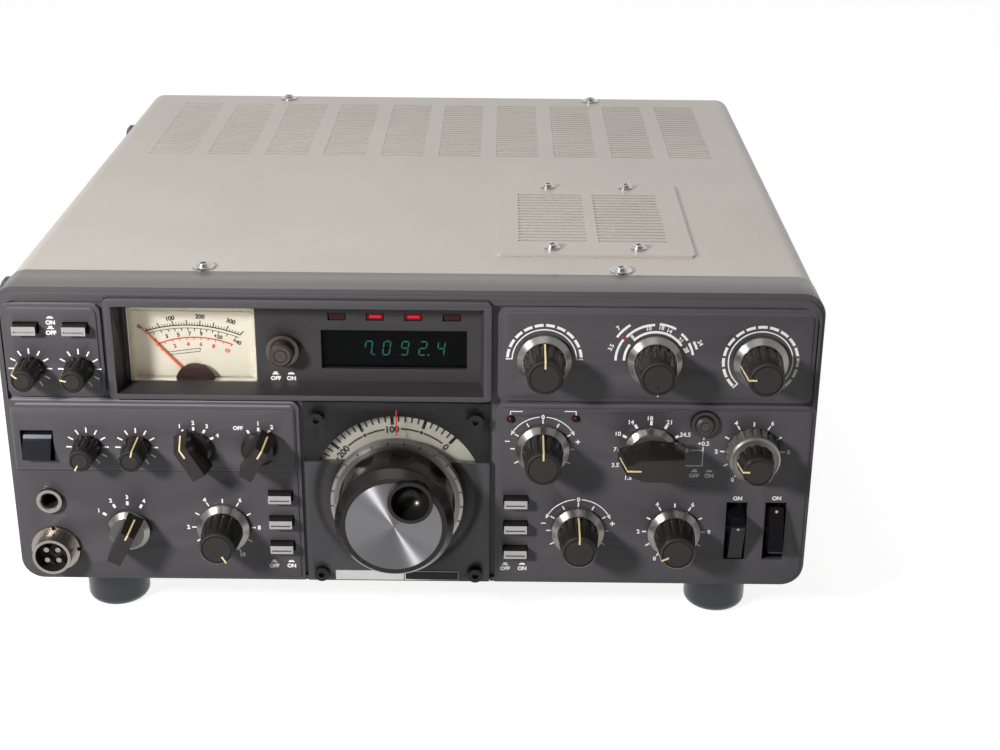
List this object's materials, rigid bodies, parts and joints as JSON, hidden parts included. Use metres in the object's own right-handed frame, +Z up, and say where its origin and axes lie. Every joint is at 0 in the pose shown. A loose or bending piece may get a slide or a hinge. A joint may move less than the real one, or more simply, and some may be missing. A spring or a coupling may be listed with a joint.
{
  "type": "hf_transceiver",
  "caption": "Desktop short-wave radio transceiver with a meter and digital display, a large tuning dial, turning knobs, push buttons and rocker paddles",
  "frame": {"origin": "centre of the overall box in plan, at table height under the feet", "axes": "+X to the operator's right, +Y from the operator to the rear, +Z up"},
  "size_m": [0.351, 0.3719, 0.1587],
  "materials": {
    "front_paint": "fine-textured dark warm grey paint",
    "cover_paint": "satin warm grey paint, slightly aged",
    "deck_metal": "plain folded sheet",
    "black_paint": "satin black paint",
    "knob_black": "moulded dark brown-black with satin sheen",
    "switch_black": "polished black moulding",
    "button_grey": "pale grey moulding",
    "bright_metal": "plated metal",
    "zinc_metal": "plated steel, dull",
    "clear_plastic": "clear acrylic",
    "smoked_plastic": "smoked acrylic",
    "meter_card": "cream card in a moulded case",
    "dial_cream": "cream disc with printed graduations",
    "needle_orange": "orange lacquer",
    "lamp_red": "red lens",
    "foot_rubber": "dark blue-grey rubber with a sheen",
    "strap_vinyl": "black strap",
    "board_green": "laminate with parts",
    "tube_glass": "clear glass"
  },
  "bodies": {
    "case": {"front_frame": "front_paint", "window_frame": "front_paint", "meter_case": "meter_card", "meter_lens": "clear_plastic", "display_filter": "smoked_plastic", "display_tube": "smoked_plastic", "indicator_lamps": "lamp_red", "dial_escutcheon": "front_paint", "dial_window": "clear_plastic", "dial_screws": "black_paint", "control_bodies": "zinc_metal", "front_sockets": "bright_metal", "chassis": "deck_metal", "rear_panel": "black_paint", "top_cover": "cover_paint", "top_hatch": "cover_paint", "bottom_cover": "cover_paint", "cover_screws": "bright_metal", "rubber_feet": "foot_rubber", "side_handle": "strap_vinyl", "fan_frame": "black_paint", "rear_connectors": "bright_metal", "power_transformer": "black_paint", "circuit_boards": "board_green", "final_tubes": "tube_glass", "loudspeaker": "black_paint"},
    "noise_level_knob": {"noise_level_knob": "knob_black"},
    "vox_gain_knob": {"vox_gain_knob": "knob_black"},
    "vox_delay_knob": {"vox_delay_knob": "knob_black"},
    "carrier_knob": {"carrier_knob": "knob_black"},
    "meter_selector": {"meter_selector": "knob_black"},
    "agc_selector": {"agc_selector": "knob_black"},
    "mode_selector": {"mode_selector": "knob_black"},
    "mic_gain_knob": {"mic_gain_knob": "knob_black"},
    "load_knob": {"load_knob": "knob_black"},
    "plate_knob": {"plate_knob": "knob_black"},
    "drive_knob": {"drive_knob": "knob_black"},
    "offset_knob": {"offset_knob": "knob_black"},
    "band_selector": {"band_selector": "knob_black"},
    "audio_gain_knob": {"audio_gain_knob": "knob_black"},
    "radio_gain_ring": {"radio_gain_ring": "knob_black"},
    "shift_knob": {"shift_knob": "knob_black"},
    "notch_knob": {"notch_knob": "knob_black"},
    "tuning_knob": {"tuning_knob": "knob_black"},
    "dial_disc": {"dial_disc": "dial_cream"},
    "noise_button": {"noise_button": "button_grey"},
    "vox_button": {"vox_button": "button_grey"},
    "narrow_button": {"narrow_button": "button_grey"},
    "processor_button": {"processor_button": "button_grey"},
    "attenuator_button": {"attenuator_button": "button_grey"},
    "offset_button": {"offset_button": "button_grey"},
    "transmit_offset_button": {"transmit_offset_button": "button_grey"},
    "notch_button": {"notch_button": "button_grey"},
    "calibrator_button": {"calibrator_button": "switch_black"},
    "band_step_button": {"band_step_button": "button_grey"},
    "send_paddle": {"send_paddle": "switch_black"},
    "heater_paddle": {"heater_paddle": "switch_black"},
    "power_paddle": {"power_paddle": "switch_black"},
    "meter_needle": {"meter_needle": "needle_orange"},
    "fan_rotor": {"fan_rotor": "switch_black"}
  },
  "joints": [
    {"name": "noise_level_knob_turn", "type": "hinge", "parent": "case", "child": "noise_level_knob", "pos_m": [-0.1536, -0.156, 0.1213], "axis": [0, 1, 0], "range_deg": [-100, 200]},
    {"name": "vox_gain_knob_turn", "type": "hinge", "parent": "case", "child": "vox_gain_knob", "pos_m": [-0.1336, -0.156, 0.1213], "axis": [0, 1, 0], "range_deg": [-70, 230]},
    {"name": "vox_delay_knob_turn", "type": "hinge", "parent": "case", "child": "vox_delay_knob", "pos_m": [-0.1334, -0.156, 0.0866], "axis": [0, 1, 0], "range_deg": [0, 300]},
    {"name": "carrier_knob_turn", "type": "hinge", "parent": "case", "child": "carrier_knob", "pos_m": [-0.1131, -0.156, 0.0866], "axis": [0, 1, 0], "range_deg": [-163, 137]},
    {"name": "meter_selector_turn", "type": "hinge", "parent": "case", "child": "meter_selector", "pos_m": [-0.0892, -0.156, 0.0868], "axis": [0, 1, 0], "range_deg": [0, 90]},
    {"name": "agc_selector_turn", "type": "hinge", "parent": "case", "child": "agc_selector", "pos_m": [-0.0625, -0.156, 0.0868], "axis": [0, 1, 0], "range_deg": [-60, 0]},
    {"name": "mode_selector_turn", "type": "hinge", "parent": "case", "child": "mode_selector", "pos_m": [-0.1191, -0.156, 0.0483], "axis": [0, 1, 0], "range_deg": [-82.5, 0]},
    {"name": "mic_gain_knob_turn", "type": "hinge", "parent": "case", "child": "mic_gain_knob", "pos_m": [-0.0792, -0.156, 0.0495], "axis": [0, 1, 0], "range_deg": [-300, 0]},
    {"name": "load_knob_turn", "type": "hinge", "parent": "case", "child": "load_knob", "pos_m": [0.0544, -0.156, 0.1274], "axis": [0, 1, 0], "range_deg": [-90, 90]},
    {"name": "plate_knob_turn", "type": "hinge", "parent": "case", "child": "plate_knob", "pos_m": [0.0989, -0.156, 0.1274], "axis": [0, 1, 0], "continuous": true},
    {"name": "drive_knob_turn", "type": "hinge", "parent": "case", "child": "drive_knob", "pos_m": [0.1416, -0.156, 0.1274], "axis": [0, 1, 0], "range_deg": [-45, 225]},
    {"name": "offset_knob_turn", "type": "hinge", "parent": "case", "child": "offset_knob", "pos_m": [0.0544, -0.156, 0.0875], "axis": [0, 1, 0], "range_deg": [-150, 150]},
    {"name": "band_selector_turn", "type": "hinge", "parent": "case", "child": "band_selector", "pos_m": [0.0988, -0.156, 0.0874], "axis": [0, 1, 0], "range_deg": [-60, 210]},
    {"name": "audio_gain_knob_turn", "type": "hinge", "parent": "case", "child": "audio_gain_knob", "pos_m": [0.141, -0.156, 0.0872], "axis": [0, 1, 0], "range_deg": [-60, 240]},
    {"name": "radio_gain_ring_turn", "type": "hinge", "parent": "case", "child": "radio_gain_ring", "pos_m": [0.141, -0.156, 0.0872], "axis": [0, 1, 0], "range_deg": [-300, 0]},
    {"name": "shift_knob_turn", "type": "hinge", "parent": "case", "child": "shift_knob", "pos_m": [0.0699, -0.156, 0.0496], "axis": [0, 1, 0], "range_deg": [-150, 150]},
    {"name": "notch_knob_turn", "type": "hinge", "parent": "case", "child": "notch_knob", "pos_m": [0.1103, -0.156, 0.0495], "axis": [0, 1, 0], "range_deg": [-33, 267]},
    {"name": "tuning_knob_turn", "type": "hinge", "parent": "case", "child": "tuning_knob", "pos_m": [-0.0057, -0.156, 0.0648], "axis": [0, 1, 0], "range_deg": [-1332, 5868]},
    {"name": "dial_disc_turn", "type": "hinge", "parent": "case", "child": "dial_disc", "pos_m": [-0.0057, -0.156, 0.0648], "axis": [0, 1, 0], "range_deg": [-42, 183]},
    {"name": "noise_button_push", "type": "slide", "parent": "case", "child": "noise_button", "axis": [0, 1, 0], "range_m": [0, 0.0035], "stiffness_N_per_m": 120, "springref_m": -0.004},
    {"name": "vox_button_push", "type": "slide", "parent": "case", "child": "vox_button", "axis": [0, 1, 0], "range_m": [0, 0.0035], "stiffness_N_per_m": 120, "springref_m": -0.004},
    {"name": "narrow_button_push", "type": "slide", "parent": "case", "child": "narrow_button", "axis": [0, 1, 0], "range_m": [0, 0.0035], "stiffness_N_per_m": 120, "springref_m": -0.004},
    {"name": "processor_button_push", "type": "slide", "parent": "case", "child": "processor_button", "axis": [0, 1, 0], "range_m": [0, 0.0035], "stiffness_N_per_m": 120, "springref_m": -0.004},
    {"name": "attenuator_button_push", "type": "slide", "parent": "case", "child": "attenuator_button", "axis": [0, 1, 0], "range_m": [0, 0.0035], "stiffness_N_per_m": 120, "springref_m": -0.004},
    {"name": "offset_button_push", "type": "slide", "parent": "case", "child": "offset_button", "axis": [0, 1, 0], "range_m": [0, 0.0035], "stiffness_N_per_m": 120, "springref_m": -0.004},
    {"name": "transmit_offset_button_push", "type": "slide", "parent": "case", "child": "transmit_offset_button", "axis": [0, 1, 0], "range_m": [0, 0.0035], "stiffness_N_per_m": 120, "springref_m": -0.004},
    {"name": "notch_button_push", "type": "slide", "parent": "case", "child": "notch_button", "axis": [0, 1, 0], "range_m": [0, 0.0035], "stiffness_N_per_m": 120, "springref_m": -0.004},
    {"name": "calibrator_button_push", "type": "slide", "parent": "case", "child": "calibrator_button", "axis": [0, 1, 0], "range_m": [0, 0.0025], "stiffness_N_per_m": 120, "springref_m": -0.004},
    {"name": "band_step_button_push", "type": "slide", "parent": "case", "child": "band_step_button", "axis": [0, 1, 0], "range_m": [0, 0.0025], "stiffness_N_per_m": 120, "springref_m": -0.004},
    {"name": "send_paddle_tilt", "type": "hinge", "parent": "case", "child": "send_paddle", "pos_m": [-0.154, -0.1534, 0.087], "axis": [1, 0, 0], "range_deg": [0, 16]},
    {"name": "heater_paddle_tilt", "type": "hinge", "parent": "case", "child": "heater_paddle", "pos_m": [0.1363, -0.1534, 0.0502], "axis": [1, 0, 0], "range_deg": [-36, 0]},
    {"name": "power_paddle_tilt", "type": "hinge", "parent": "case", "child": "power_paddle", "pos_m": [0.1526, -0.1534, 0.0502], "axis": [1, 0, 0], "range_deg": [0, 36]},
    {"name": "meter_needle_swing", "type": "hinge", "parent": "case", "child": "meter_needle", "pos_m": [-0.0894, -0.156, 0.1096], "axis": [0, 1, 0], "range_deg": [0, 83], "stiffness_Nm_per_rad": 0.0004, "springref_deg": -5.73},
    {"name": "fan_spin", "type": "hinge", "parent": "case", "child": "fan_rotor", "pos_m": [0.095, 0.176, 0.096], "axis": [0, 1, 0], "continuous": true}
  ],
  "couplings": [
    {"joint": "dial_disc_turn", "follows": "tuning_knob_turn", "ratio": 0.031}
  ]
}
